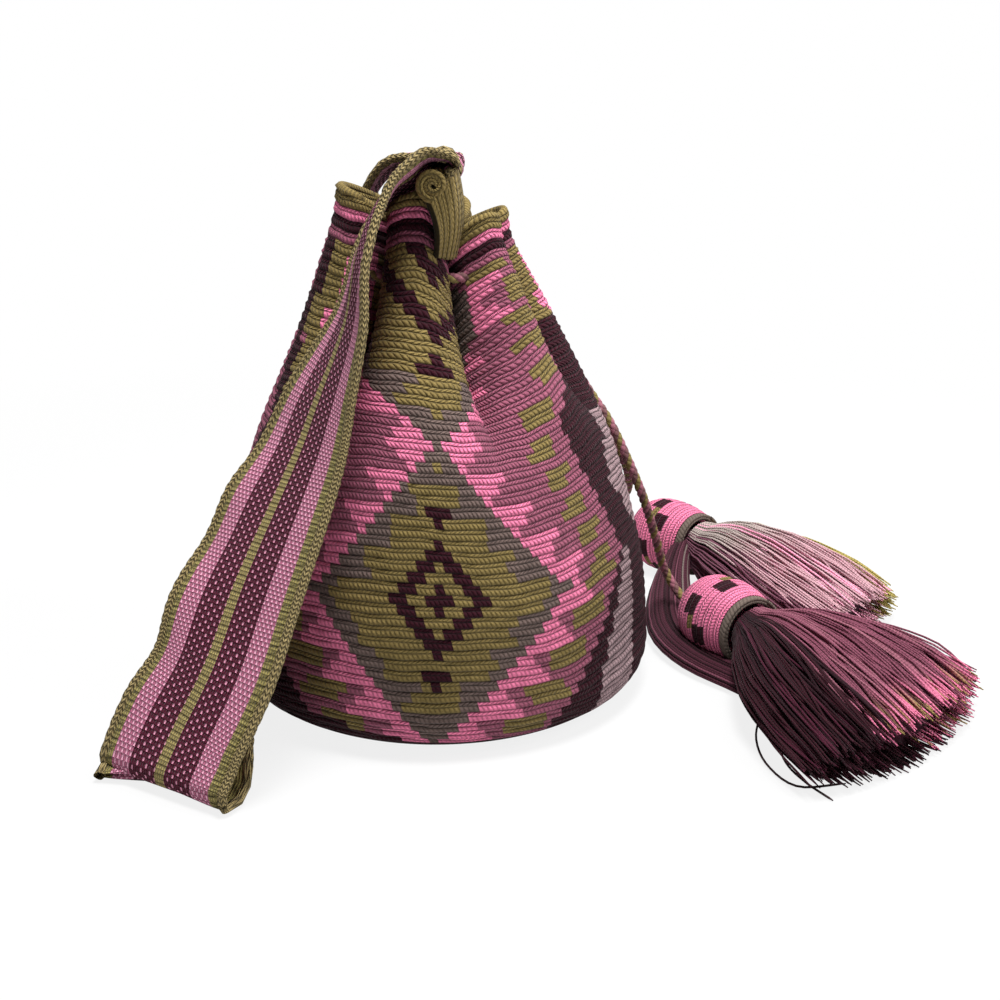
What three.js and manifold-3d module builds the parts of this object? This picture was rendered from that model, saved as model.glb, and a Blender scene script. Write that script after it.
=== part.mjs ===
// Crocheted bucket bag with a gathered mouth, a woven shoulder strap and a tasselled drawstring.
// Millimetres, +Z up. The bag stands on its base at the origin and its front faces -Y.
import * as THREE from "three";
import { LoftGeometry } from "three/addons/geometries/LoftGeometry.js";
import { mergeVertices } from "three/addons/utils/BufferGeometryUtils.js";
import Module from "manifold-3d";

// Driving sizes.
const BAG_RADIUS = 112; // wall at its widest, just above the base
const RIM_HEIGHT = 263; // floor to the gathered rim
const WALL = 4; // thickness of the crochet
const BASE_CORNER = 26; // rounding between the base and the wall
const STRAP_WIDTH = 80; // over both edgings
const STRAP_THICKNESS = 3;
const EDGING_DIAMETER = 6;
const CORD_DIAMETER = 5.5;
const CAP_RADIUS = 23; // tassel cap at its widest
const SKIRT_LENGTH = 120; // tassel yarn beyond the binding
const GAP = 0.3; // air left between pieces that touch

// The wall as [height, radius] in hundredths of the rim height and the bag radius.
const WALL_LINE = [
  [9.9, 100],
  [29.3, 97.3],
  [52.9, 83],
  [75.3, 59.8],
  [86, 49.1],
  [95, 41],
  [100, 39.5],
];
const LEAN = 0.023; // sideways drift of the wall for each millimetre of height

// The folds that the drawstring pulls in: bearing in degrees and depth as a share of the radius.
const FOLDS = [
  [42, 0.5],
  [96, 0.48],
  [138, 0.5],
  [228, 0.52],
  [294, 0.47],
  [354, 0.5],
];
const FOLD_START = 0.5; // height where the folds begin, as a share of the rim height
const FOLD_FULL = 0.86; // height where they are deepest, which is where the drawstring runs
const RING_SHARE = 0.67; // drawstring ring against the wall's outline at that height
const BAG_SIDES = 60;
// The rim's own ups and downs, in hundredths of the rim height: one side hangs lower, and a tab stands
// up under the strap's front end.
const RIM_SWAY = { drop: 0.8, tilt: 2.7, high: 190, tab: 3.4, tabAt: 280, tabWidth: 20 };

// Strap from the front seam to the back one: x and y in hundredths of the bag radius, z in hundredths
// of the rim height, then the direction across the band and its width in hundredths of the full width.
const STRAP_LINE = [
  [6.3, -28, 105.9, 0, -1, 0, 50],
  [8.9, -28, 107, 0, -1, 0, 50],
  [8.5, -28, 108.4, 0, -1, 0, 51],
  [4.5, -29.2, 109.4, 0, -1, 0, 53],
  [-2.7, -31.2, 109.5, 0, -1, 0.08, 55],
  [-9.4, -34.2, 108.2, 0, -0.99, 0.16, 59],
  [-17.4, -38.2, 105.4, 0.03, -0.99, 0.1, 63],
  [-25, -44.5, 99.6, 0.1, -0.99, 0, 66],
  [-31, -52.5, 91.6, 0.15, -0.99, 0, 72],
  [-36, -58.2, 80.2, 0.28, -0.96, 0, 82],
  [-50, -63.2, 65, 0.5, -0.87, 0, 95],
  [-57.4, -68.3, 57, 0.56, -0.83, 0, 100],
  [-80.9, -94.6, 35.6, 0.78, -0.63, 0, 100],
  [-93.5, -111, 21.7, 0.82, -0.57, 0, 100],
  [-107, -122, 10.6, 0.84, -0.54, 0, 100],
  [-113.2, -128.6, 4.7, 0.84, -0.54, 0, 100],
  [-113.6, -129.2, 3.5, 0.84, -0.54, 0, 100],
  [-112.8, -127.9, 2, 0.84, -0.54, 0, 100],
  [-110.7, -124.7, 1.3, 0.84, -0.54, 0, 100],
  [-110.7, -101.8, 5.1, 0.93, -0.25, 0.25, 100],
  [-112.5, -71.4, 9.7, 0.78, -0.25, 0.57, 100],
  [-113.4, -40.2, 12.9, 0.5, -0.35, 0.79, 100],
  [-108, -10.7, 15.2, 0.1, -0.55, 0.83, 100],
  [-103.6, 17.9, 17.5, -0.1, -0.65, 0.75, 100],
  [-94.6, 46.4, 23.6, -0.2, -0.62, 0.76, 100],
  [-74.1, 65.2, 39.9, -0.2, -0.62, 0.76, 100],
  [-61, 72, 57, -0.1, -0.75, 0.65, 100],
  [-48.2, 67.9, 74.1, -0.05, -0.9, 0.43, 92],
  [-39.3, 58.9, 88.2, 0, -0.97, 0.24, 79],
  [-32.1, 48.2, 98.1, 0.05, -0.99, 0.1, 68],
  [-21, 40, 104, 0, -0.98, 0.18, 62],
  [-7.1, 34, 106.4, 0, -0.98, 0.18, 57],
  [3.6, 31, 106.4, 0, -1, 0.05, 54],
  [8.9, 30, 104.9, 0, -1, 0, 52],
  [9, 30, 103.4, 0, -1, 0, 51],
  [6.3, 30, 102.3, 0, -1, 0, 50],
];
const STRAP_STEPS = 3; // sections for each stretch of the line
const SEAM_RADIUS = 5.5;

// Tassels: apex of the cap in hundredths of the bag radius, heading and half spread in degrees, and how
// much longer the yarn lies on the near side, as a share of the skirt.
const TASSELS = {
  front: { apex: [129.5, 38.4], heading: -59, spread: 24, slant: 0.14 },
  back: { apex: [111.6, 161.6], heading: -48, spread: 19, slant: 0.04 },
};
// Drawstring tails from the wall to the tassels, in the strap line's hundredths.
const FRONT_TAIL = [
  [35.3, 25.4, 81.4],
  [42.9, 30.4, 74.5],
  [56.4, 33.5, 67.7],
  [72.8, 34.4, 57],
  [82.6, 29.5, 51],
  [98.2, 28.6, 36.5],
  [108, 42.9, 23.6],
  [114.7, 54.5, 14.1],
];
const BACK_TAIL = [
  [33, 33, 82],
  [45, 38, 76],
  [58, 42, 67.5],
  [76, 46, 51],
  [92.9, 64.3, 38],
  [98.2, 102.7, 26.6],
  [95.5, 142.9, 18.3],
  [95.5, 167.9, 12.5],
];
const RING_FROM = 52; // bearings between which the drawstring runs round the mouth
const RING_TO = 393;
const RING_POINTS = 18;
const KNOT_DEPTH = 9; // knot behind the cap's apex

const radians = THREE.MathUtils.degToRad;
const part = new THREE.Group();
const solids = await Module();
solids.setup();

function place([x, y, z]) {
  const across = BAG_RADIUS / 100;
  return new THREE.Vector3(x * across, y * across, (z * RIM_HEIGHT) / 100);
}

function asSolid(geometry) {
  const bare = new THREE.BufferGeometry();
  bare.setAttribute("position", geometry.getAttribute("position"));
  bare.setIndex(geometry.index);
  const merged = mergeVertices(bare, 1e-3);
  return new solids.Manifold(
    new solids.Mesh({
      numProp: 3,
      vertProperties: merged.getAttribute("position").array,
      triVerts: new Uint32Array(merged.index.array),
    }),
  );
}

function asGeometry(solid) {
  const mesh = solid.getMesh();
  const geometry = new THREE.BufferGeometry();
  geometry.setAttribute("position", new THREE.BufferAttribute(mesh.vertProperties, 3));
  geometry.setIndex(new THREE.BufferAttribute(mesh.triVerts, 1));
  return geometry;
}

function add(name, geometry, color, roughness, group = part) {
  const material = new THREE.MeshStandardMaterial({ color, roughness, metalness: 0 });
  const mesh = new THREE.Mesh(geometry, material);
  mesh.name = name;
  group.add(mesh);
}

// How far out the wall stands at a bearing: 0 in the crease of a fold, 1 at the crown between two.
function crown(bearing) {
  const last = FOLDS.length - 1;
  for (let i = 0; i <= last; i += 1) {
    const [from, depthFrom] = FOLDS[i];
    const [to, depthTo] = i < last ? FOLDS[i + 1] : [FOLDS[0][0] + 360, FOLDS[0][1]];
    const turned = bearing < from ? bearing + 360 : bearing;
    if (turned >= from && turned <= to) {
      const share = (turned - from) / (to - from);
      const out = Math.pow(Math.sin(Math.PI * share), 0.85);
      return { out, depth: depthFrom + (depthTo - depthFrom) * share };
    }
  }
  return { out: 1, depth: 0 };
}

function rimRise(bearing) {
  const { drop, tilt, high, tab, tabAt, tabWidth } = RIM_SWAY;
  const stand = tab * Math.exp(-(((bearing - tabAt) / tabWidth) ** 2));
  return (tilt * Math.cos(radians(bearing - high)) + stand - drop) * (RIM_HEIGHT / 100);
}

function wallPoint(radius, height, bearing) {
  const { out, depth } = crown(bearing);
  const pull = THREE.MathUtils.smoothstep(height, FOLD_START * RIM_HEIGHT, FOLD_FULL * RIM_HEIGHT);
  const reach = radius * (1 - depth * pull * (1 - out));
  const turn = radians(bearing);
  const sway = THREE.MathUtils.smoothstep(height, 0.75 * RIM_HEIGHT, RIM_HEIGHT) * rimRise(bearing);
  return new THREE.Vector3(
    reach * Math.cos(turn) - LEAN * height,
    reach * Math.sin(turn),
    height + sway,
  );
}

// Outside of the bag as rings from the base's edge up to the rim.
const wallCurve = new THREE.SplineCurve(
  WALL_LINE.map(([z, r]) => new THREE.Vector2((r * BAG_RADIUS) / 100, (z * RIM_HEIGHT) / 100)),
);
const outside = [];
const cornerTop = (WALL_LINE[0][0] * RIM_HEIGHT) / 100;
const CORNER_STEPS = 4;
for (let i = 0; i < CORNER_STEPS; i += 1) {
  const turn = (i / CORNER_STEPS) * (Math.PI / 2);
  const radius = BAG_RADIUS - BASE_CORNER * (1 - Math.sin(turn));
  outside.push([radius, cornerTop * (1 - Math.cos(turn))]);
}
const WALL_STEPS = 11;
for (let i = 0; i <= WALL_STEPS; i += 1) {
  const at = wallCurve.getPoint(i / WALL_STEPS);
  outside.push([at.x, at.y]);
}
const outerRings = outside.map(([radius, height]) => {
  const ring = [];
  for (let k = 0; k < BAG_SIDES; k += 1) {
    ring.push(wallPoint(radius, height, (k * 360) / BAG_SIDES));
  }
  return ring;
});
// Inside: each outer point moved in by the wall's thickness, square to the wall.
const innerRings = outerRings.map((ring, i) =>
  ring.map((point, k) => {
    if (i === 0) {
      return point.clone().setZ(WALL);
    }
    const around = new THREE.Vector3().subVectors(
      ring[(k + 1) % BAG_SIDES],
      ring[(k + BAG_SIDES - 1) % BAG_SIDES],
    );
    const above = outerRings[Math.min(i + 1, outerRings.length - 1)][k];
    const up = new THREE.Vector3().subVectors(above, outerRings[i - 1][k]);
    const square = around.cross(up).normalize();
    const inner = point.clone().addScaledVector(square, -WALL);
    return i === outerRings.length - 1 ? inner.setZ(point.z) : inner;
  }),
);
const capped = { capStart: true, capEnd: true };
const wall = asSolid(
  new LoftGeometry([...outerRings, ...innerRings.toReversed(), outerRings[0]]),
);
const base = asSolid(new LoftGeometry([outerRings[0], innerRings[0]], capped));
const shell = wall.add(base);
const rimPoints = [...outerRings.at(-1), ...innerRings.at(-1)];

// Drawstring: knot in the back tassel, up the wall, round the mouth and down to the front tassel.
const ringHeight = FOLD_FULL * RIM_HEIGHT;
const ringRadius = RING_SHARE * WALL_LINE[4][1] * 0.01 * BAG_RADIUS;
const ringPoints = [];
for (let i = 0; i <= RING_POINTS; i += 1) {
  const turn = radians(RING_FROM + ((RING_TO - RING_FROM) * i) / RING_POINTS);
  ringPoints.push(
    new THREE.Vector3(
      ringRadius * Math.cos(turn) - LEAN * ringHeight,
      ringRadius * Math.sin(turn),
      ringHeight,
    ),
  );
}
function tasselPoint({ apex, heading }, along) {
  const at = place([apex[0], apex[1], 0]);
  const turn = radians(heading);
  const ahead = new THREE.Vector3(Math.cos(turn), Math.sin(turn), 0);
  return at.addScaledVector(ahead, along).setZ(CAP_RADIUS + GAP);
}
function tailEnd(tassel) {
  return [-14, -5, KNOT_DEPTH].map((along) => tasselPoint(tassel, along));
}
function tube(points, diameter, steps) {
  const disc = new THREE.Shape().absarc(0, 0, diameter / 2, 0, 2 * Math.PI);
  return new THREE.ExtrudeGeometry(disc, {
    curveSegments: 4,
    steps,
    extrudePath: new THREE.CatmullRomCurve3(points),
  });
}
const cordPoints = [
  ...tailEnd(TASSELS.back).toReversed(),
  ...BACK_TAIL.map(place).toReversed(),
  ...ringPoints,
  ...FRONT_TAIL.map(place),
  ...tailEnd(TASSELS.front),
];
const knots = Object.values(TASSELS).map((tassel) => {
  const knot = new THREE.IcosahedronGeometry(CORD_DIAMETER, 1);
  const at = tasselPoint(tassel, KNOT_DEPTH);
  return asSolid(knot.translate(at.x, at.y, at.z));
});
const cord = solids.Manifold.union([asSolid(tube(cordPoints, CORD_DIAMETER, 80)), ...knots]);
add("drawstring", asGeometry(cord), 0x7d6259, 0.9);

// Eyelets where the ring passes through the wall of each fold.
const eyelets = asSolid(tube(cordPoints, CORD_DIAMETER + 4 * GAP, 80));
add("bag_body", asGeometry(shell.subtract(eyelets)), 0x8f8148, 0.95);

// Strap: a flat band between two round edgings, all swept along one line.
const strapCurve = new THREE.CatmullRomCurve3(STRAP_LINE.map(place));
const acrossCurve = new THREE.CatmullRomCurve3(
  STRAP_LINE.map((row) => new THREE.Vector3(row[3], row[4], row[5])),
);
const widthCurve = new THREE.SplineCurve(
  STRAP_LINE.map((row, i) => new THREE.Vector2(i, (row[6] * STRAP_WIDTH) / 100)),
);
const strapFrames = [];
const strapSections = (STRAP_LINE.length - 1) * STRAP_STEPS;
for (let i = 0; i <= strapSections; i += 1) {
  const share = i / strapSections;
  const along = strapCurve.getTangent(share);
  const across = acrossCurve.getPoint(share);
  across.addScaledVector(along, -across.dot(along)).normalize();
  const middle = strapCurve.getPoint(share);
  const half = widthCurve.getPoint(share).y / 2;
  middle.z = Math.max(middle.z, half * Math.abs(across.z) + EDGING_DIAMETER / 2 + GAP);
  strapFrames.push({ middle, along, across, face: along.clone().cross(across), half });
}
function sweep(outline) {
  const sections = strapFrames.map((frame) =>
    outline(frame.half).map(([w, n]) =>
      frame.middle.clone().addScaledVector(frame.across, w).addScaledVector(frame.face, n),
    ),
  );
  return new LoftGeometry(sections, capped);
}
function bandOutline(half) {
  const w = half - EDGING_DIAMETER - 3 * GAP;
  const n = STRAP_THICKNESS / 2;
  return [
    [-w, -n],
    [w, -n],
    [w, n],
    [-w, n],
  ];
}
function edgingOutline(side) {
  const EDGING_SIDES = 6;
  return (half) =>
    Array.from({ length: EDGING_SIDES }, (_, i) => {
      const turn = (2 * Math.PI * i) / EDGING_SIDES;
      const w = side * (half - EDGING_DIAMETER / 2) + (EDGING_DIAMETER / 2) * Math.cos(turn);
      return [w, (EDGING_DIAMETER / 2) * Math.sin(turn)];
    });
}
add("strap_band", sweep(bandOutline), 0x5c2038, 0.9);
add("strap_edging_right", sweep(edgingOutline(1)), 0x8f8148, 0.95);
add("strap_edging_left", sweep(edgingOutline(-1)), 0x8f8148, 0.95);

// Seams: crocheted rolls on the rim, against the strap's two ends.
for (const [name, end] of [
  ["front", strapFrames[0]],
  ["back", strapFrames.at(-1)],
]) {
  const roll = new THREE.CylinderGeometry(SEAM_RADIUS, SEAM_RADIUS, 2 * end.half, 12);
  const clear = SEAM_RADIUS + GAP;
  const heights = rimPoints
    .filter((point) => Math.abs(point.y - end.middle.y) < end.half)
    .map((point) => point.z + Math.sqrt(clear ** 2 - (point.x - end.middle.x + SEAM_RADIUS) ** 2));
  const z = Math.max(...heights.filter((height) => height > 0));
  const reach = SEAM_RADIUS + 1.5 * GAP;
  const x = end.middle.x - Math.sqrt(Math.max(0, reach ** 2 - (end.middle.z - z) ** 2));
  add(`strap_seam_${name}`, roll.translate(x, end.middle.y, z), 0x8f8148, 0.95);
}

// Tassels, each drawn along +X from the cap's apex and turned to its heading.
const CAP_WALL = 3.5;
const capLength = 2 * CAP_RADIUS;
const BINDING_WIDTH = 8;
const bindingEnd = capLength + GAP + BINDING_WIDTH;
const neckRadius = 0.7 * CAP_RADIUS;
const hole = CORD_DIAMETER / 2 + 2 * GAP;
function revolve(outline) {
  const points = outline.map(([r, x]) => new THREE.Vector2(r, x));
  points.push(points[0].clone());
  return new THREE.LatheGeometry(points, 20).rotateZ(-Math.PI / 2);
}
function capOutline() {
  const lip = neckRadius + GAP;
  const outer = [
    [hole, 0],
    [0.42 * CAP_RADIUS, 0.02 * capLength],
    [0.75 * CAP_RADIUS, 0.13 * capLength],
    [0.95 * CAP_RADIUS, 0.32 * capLength],
    [CAP_RADIUS, 0.55 * capLength],
    [0.96 * CAP_RADIUS, 0.8 * capLength],
    [lip + CAP_WALL, capLength],
  ];
  const inner = outer.slice(1, -1).map(([r, x]) => [r - CAP_WALL, x + CAP_WALL * (1 - x / capLength)]);
  return [...outer, [lip, capLength], ...inner.toReversed(), [hole, CAP_WALL]];
}
function bindingOutline() {
  const from = capLength + GAP;
  const inner = neckRadius + GAP;
  const outer = inner + CAP_WALL + 1.5;
  return [
    [inner, from],
    [outer - 2, from],
    [outer, from + 2],
    [outer, bindingEnd - 2],
    [outer - 2, bindingEnd],
    [inner, bindingEnd],
  ];
}
// Yarn: a folded head inside the cap, a neck through the binding and a skirt that fans out on the floor.
function yarnSections({ spread, slant }) {
  const SIDES = 20;
  const turns = Array.from({ length: SIDES }, (_, i) => (2 * Math.PI * i) / SIDES);
  const head = [
    [0.36, 0.3],
    [0.4, 0.52],
    [0.5, 0.68],
    [0.68, 0.74],
    [0.9, 0.69],
    [1.02, 0.69],
  ].map(([x, r]) =>
    turns.map(
      (a) => new THREE.Vector3(x * capLength, r * CAP_RADIUS * Math.cos(a), r * CAP_RADIUS * Math.sin(a)),
    ),
  );
  const half = radians(spread);
  const start = (0.69 * CAP_RADIUS) / Math.sin(half);
  const origin = bindingEnd + GAP - start * Math.cos(half);
  const fan = [
    [0, 0.69, 1],
    [0.08, 0.82, 1.16],
    [0.25, 0.86, 1.3],
    [0.5, 0.78, 1.3],
    [0.78, 0.6, 1.14],
    [0.97, 0.42, 1.02],
    [1, 0.3, 1],
  ].map(([share, thick, flare]) =>
    turns.map((a) => {
      const reach = start + share * SKIRT_LENGTH * (1 - slant * Math.cos(a));
      const turn = half * flare * Math.cos(a);
      const rest = Math.max(0.6 + thick * CAP_RADIUS, CAP_RADIUS * (1 - 1.6 * share)) - CAP_RADIUS;
      return new THREE.Vector3(
        origin + reach * Math.cos(turn),
        reach * Math.sin(turn),
        Math.min(rest, 0) + thick * CAP_RADIUS * Math.sin(a),
      );
    }),
  );
  return [...head, ...fan];
}
for (const [name, tassel] of Object.entries(TASSELS)) {
  const group = new THREE.Group();
  group.position.copy(tasselPoint(tassel, 0));
  group.rotation.z = radians(tassel.heading);
  part.add(group);
  add(`${name}_tassel_cap`, revolve(capOutline()), 0xe27a9c, 0.95, group);
  add(`${name}_tassel_binding`, revolve(bindingOutline()), 0x6b6058, 0.95, group);
  const yarn = new LoftGeometry(yarnSections(tassel), capped);
  add(`${name}_tassel_yarn`, yarn, 0x7a3450, 0.95, group);
}

export default part;
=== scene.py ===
import math

import bpy
import numpy as np
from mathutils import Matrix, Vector


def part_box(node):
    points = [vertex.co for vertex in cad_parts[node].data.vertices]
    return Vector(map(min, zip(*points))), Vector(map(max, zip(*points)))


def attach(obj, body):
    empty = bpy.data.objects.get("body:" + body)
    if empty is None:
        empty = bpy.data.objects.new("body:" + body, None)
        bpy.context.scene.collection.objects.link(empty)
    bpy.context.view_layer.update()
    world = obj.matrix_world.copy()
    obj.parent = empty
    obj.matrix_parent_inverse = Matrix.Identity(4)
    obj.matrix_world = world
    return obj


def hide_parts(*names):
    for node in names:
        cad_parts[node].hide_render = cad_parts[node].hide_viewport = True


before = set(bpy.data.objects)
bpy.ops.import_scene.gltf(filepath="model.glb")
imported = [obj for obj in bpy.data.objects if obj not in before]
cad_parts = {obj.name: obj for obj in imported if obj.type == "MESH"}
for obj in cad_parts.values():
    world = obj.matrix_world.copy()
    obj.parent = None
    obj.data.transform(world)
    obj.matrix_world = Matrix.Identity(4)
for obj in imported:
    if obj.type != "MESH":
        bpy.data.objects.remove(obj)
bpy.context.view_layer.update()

# Sizes in metres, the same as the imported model's.
BAG_RADIUS = 0.112
RIM_HEIGHT = 0.263
WALL = 0.004
BASE_CORNER = 0.026
STRAP_WIDTH = 0.080
STRAP_THICKNESS = 0.003
EDGING_DIAMETER = 0.006
EDGING_WIDTH = 0.005  # the worked edging, a little less than the solid that holds its place
CORD_DIAMETER = 0.0055
CAP_RADIUS = 0.023
SKIRT_LENGTH = 0.120
SEAM_RADIUS = 0.0055
YARN_RADIUS = 0.0006  # a strand of the tassels
GAP = 0.0003

# The wall as height and radius in hundredths of the rim height and the bag radius.
WALL_LINE = [(9.9, 100), (29.3, 97.3), (52.9, 83), (75.3, 59.8), (86, 49.1), (95, 41), (100, 39.5)]
LEAN = 0.023  # sideways drift of the wall for each metre of height
# Folds under the drawstring: bearing in degrees, depth as a share of the radius, how far the crochet
# rows are dragged down in the crease, then for the lobe after the fold where its middle falls in its
# stitches and which share of them shows, the rest being gathered into the creases.
FOLDS = [
    (42, 0.50, 0.010, 0.5, 0.5),
    (96, 0.48, 0.010, 0.5, 0.5),
    (138, 0.50, 0.010, 0.5, 0.5),
    (228, 0.52, 0.014, 0.6, 0.42),
    (294, 0.47, 0.026, 0.33, 0.45),
    (354, 0.50, 0.012, 0.5, 0.5),
]
FOLD_AT, FOLD_DEPTH, FOLD_DRAG, LOBE_MIDDLE, LOBE_SHOWN = np.array(FOLDS, float).T
FOLD_START, FOLD_FULL = 0.5, 0.86  # shares of the height where folds begin and are deepest
GATHERED = 0.75  # by this share of the height the stitches have gone into the creases
RIM_SWAY = {"drop": 0.8, "tilt": 2.7, "high": 190, "tab": 3.4, "tab_at": 280, "tab_width": 20}
TAB_EDGE = (286, 294)  # bearings where the olive tab drops away into the front fold

# Strap from the front seam to the back one: x and y in hundredths of the bag radius, z in hundredths
# of the rim height, then the direction across the band and its width in hundredths of the full width.
STRAP_LINE = [
    (6.3, -28, 105.9, 0, -1, 0, 50),
    (8.9, -28, 107, 0, -1, 0, 50),
    (8.2, -28, 107.8, 0, -1, 0, 51),
    (4.3, -29.2, 108.5, 0, -1, 0.06, 53),
    (-2.7, -31.7, 107.6, 0, -0.98, 0.2, 55),
    (-9.4, -35.9, 105.2, 0, -0.91, 0.42, 59),
    (-17.4, -39, 103, 0.03, -0.95, 0.3, 63),
    (-25, -44.5, 98.6, 0.1, -0.98, 0.12, 66),
    (-31, -52.5, 91.6, 0.15, -0.99, 0, 72),
    (-36, -58.2, 80.2, 0.28, -0.96, 0, 82),
    (-50, -63.2, 65, 0.5, -0.87, 0, 95),
    (-57.4, -68.3, 57, 0.56, -0.83, 0, 100),
    (-80.9, -94.6, 35.6, 0.78, -0.63, 0, 100),
    (-93.5, -111, 21.7, 0.82, -0.57, 0, 100),
    (-107, -122, 10.6, 0.84, -0.54, 0, 100),
    (-113.2, -128.6, 4.7, 0.84, -0.54, 0, 100),
    (-113.6, -129.2, 3.5, 0.84, -0.54, 0, 100),
    (-112.8, -127.9, 2, 0.84, -0.54, 0, 100),
    (-110.7, -124.7, 1.3, 0.84, -0.54, 0, 100),
    (-110.7, -101.8, 5.1, 0.93, -0.25, 0.25, 100),
    (-112.5, -71.4, 9.7, 0.78, -0.25, 0.57, 100),
    (-113.4, -40.2, 12.9, 0.5, -0.35, 0.79, 100),
    (-108, -10.7, 15.2, 0.1, -0.55, 0.83, 100),
    (-103.6, 17.9, 17.5, -0.1, -0.65, 0.75, 100),
    (-94.6, 46.4, 23.6, -0.2, -0.62, 0.76, 100),
    (-74.1, 65.2, 39.9, -0.2, -0.62, 0.76, 100),
    (-61, 72, 57, -0.1, -0.75, 0.65, 100),
    (-48.2, 67.9, 74.1, -0.05, -0.9, 0.43, 92),
    (-39.3, 58.9, 88.2, 0, -0.97, 0.24, 79),
    (-32.1, 48.2, 98.1, 0.05, -0.99, 0.1, 68),
    (-21, 40, 103.2, 0, -0.98, 0.18, 62),
    (-7.1, 34, 105.2, 0, -0.98, 0.18, 57),
    (3.6, 31, 105.4, 0, -1, 0.05, 54),
    (8.9, 30, 104.9, 0, -1, 0, 52),
    (9, 30, 103.4, 0, -1, 0, 51),
    (6.3, 30, 102.3, 0, -1, 0, 50),
]

# Drawstring tails from the wall to the tassels, in the strap line's hundredths.
FRONT_TAIL = [
    (35.3, 25.4, 81.4), (42.9, 30.4, 74.5), (56.4, 33.5, 67.7), (72.8, 34.4, 57),
    (82.6, 29.5, 51), (98.2, 28.6, 36.5), (108, 42.9, 23.6), (114.7, 54.5, 14.1),
]
BACK_TAIL = [
    (33, 33, 82), (45, 38, 76), (58, 42, 67.5), (76, 46, 51),
    (92.9, 64.3, 38), (98.2, 102.7, 26.6), (95.5, 142.9, 18.3), (95.5, 167.9, 12.5),
]
# Tassels: apex of the cap in hundredths of the bag radius, heading and half spread in degrees, how much
# longer the yarn lies on the near side, as a share of the skirt, and the far side's own turn in radians.
TASSELS = {
    "front": {"apex": (129.5, 38.4), "heading": -59, "spread": 24, "slant": 0.14, "swing": 0.12},
    "back": {"apex": (111.6, 161.6), "heading": -48, "spread": 19, "slant": 0.04, "swing": -0.1},
}
RING_FROM, RING_TO, RING_POINTS = 52, 393, 18  # bearings between which it runs round the mouth
RING_SHARE = 0.67  # of the wall's outline at that height
KNOT_DEPTH = 0.009  # knot behind the cap's apex
FULL_TURN = 2 * math.pi

# Crochet gauge: stitches round the bag, the bearing of the front diamond's middle, and the row that
# each height on the wall holds.
STITCHES = 150
CAP_STITCHES = 36
FRONT_BEARING = 273
ROW_MARKS = [(0.083, 15.4), (0.157, 29.8), (0.263, 51)]
# Uneven hand work: rows wander up and down by a share of a row, so many times round the bag.
ROW_WAVES = [(0.35, 3, -1.73, 0.0), (0.08, 8, 1.3, 0.2), (0.05, 17, 0.4, 0.6), (0.03, 31, 2.0, -0.5)]
FINE_RELIEF = 0.0014  # depth of the stitches on the small pieces
SLUMP = {"rows": 1.5, "at": 335, "width": 22}  # rows pushed up where the shoulder bulges

# Yarn colours.
OLIVE = "897646"
TAUPE = "72605a"
BURGUNDY = "360b19"
PINK = "f684aa"
MAUVE = "a05a70"
LILAC = "a88c90"
STRAP_BURGUNDY = "501329"
EDGING_OLIVE = "9c8a5e"


def linear(code):
    """A colour written as six hex digits, as the shader's linear red, green, blue and alpha."""
    parts = [int(code[i : i + 2], 16) / 255 for i in (0, 2, 4)]
    return (*[((c + 0.055) / 1.055) ** 2.4 if c > 0.04 else c / 12.92 for c in parts], 1.0)


def place(rows):
    """Points in hundredths of the bag radius and the rim height, as metres."""
    return np.array([row[:3] for row in rows], float) * (BAG_RADIUS, BAG_RADIUS, RIM_HEIGHT) / 100


def unit(vectors):
    return vectors / np.linalg.norm(vectors, axis=-1, keepdims=True)


def smoothstep(x, low, high):
    t = np.clip((np.asarray(x, float) - low) / (high - low), 0, 1)
    return t * t * (3 - 2 * t)


def through(points, shares):
    """Points on the smooth curve through the given points, at shares of its stretches."""
    points = np.asarray(points, float)
    last = len(points) - 1
    ends = [2 * points[0] - points[1], 2 * points[-1] - points[-2]]
    padded = np.vstack([ends[0], points, ends[1]])
    where = np.clip(np.asarray(shares, float) * last, 0, last - 1e-9)
    i = where.astype(int)
    w = (where - i)[:, None]
    p0, p1, p2, p3 = (padded[i + k] for k in range(4))
    d0, d1, d2 = (np.sqrt(np.linalg.norm(b - a, axis=1)) for a, b in ((p0, p1), (p1, p2), (p2, p3)))
    d1 = np.where(d1 < 1e-4, 1, d1)[:, None]
    d0 = np.where(d0[:, None] < 1e-4, d1, d0[:, None])
    d2 = np.where(d2[:, None] < 1e-4, d1, d2[:, None])
    t1 = ((p1 - p0) / d0 - (p2 - p0) / (d0 + d1) + (p2 - p1) / d1) * d1
    t2 = ((p2 - p1) / d1 - (p3 - p1) / (d1 + d2) + (p3 - p2) / d2) * d1
    return p1 + w * (t1 + w * (3 * (p2 - p1) - 2 * t1 - t2 + w * (2 * (p1 - p2) + t1 + t2)))


def travelled(points):
    """Distance along a line to each of its points."""
    return np.concatenate([[0], np.linalg.norm(np.diff(points, axis=0), axis=1).cumsum()])


def even_shares(points, step):
    """Shares along the curve through the points that are about one step apart, and its length."""
    fine = np.linspace(0, 1, 40 * len(points))
    gone = travelled(through(points, fine))
    count = max(2, int(round(gone[-1] / step)))
    return np.interp(np.linspace(0, gone[-1], count + 1), gone, fine), gone[-1]


def carried_frames(points):
    """Tangent and two square directions along a line, carried on without twisting."""
    tangents = unit(np.gradient(points, axis=0))
    side = np.cross(tangents[0], (0.0, 0.0, 1.0))
    sides = []
    for tangent in tangents:
        side = side - tangent * side.dot(tangent)
        side = side / np.linalg.norm(side)
        sides.append(side)
    sides = np.array(sides)
    return tangents, sides, np.cross(tangents, sides)


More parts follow.
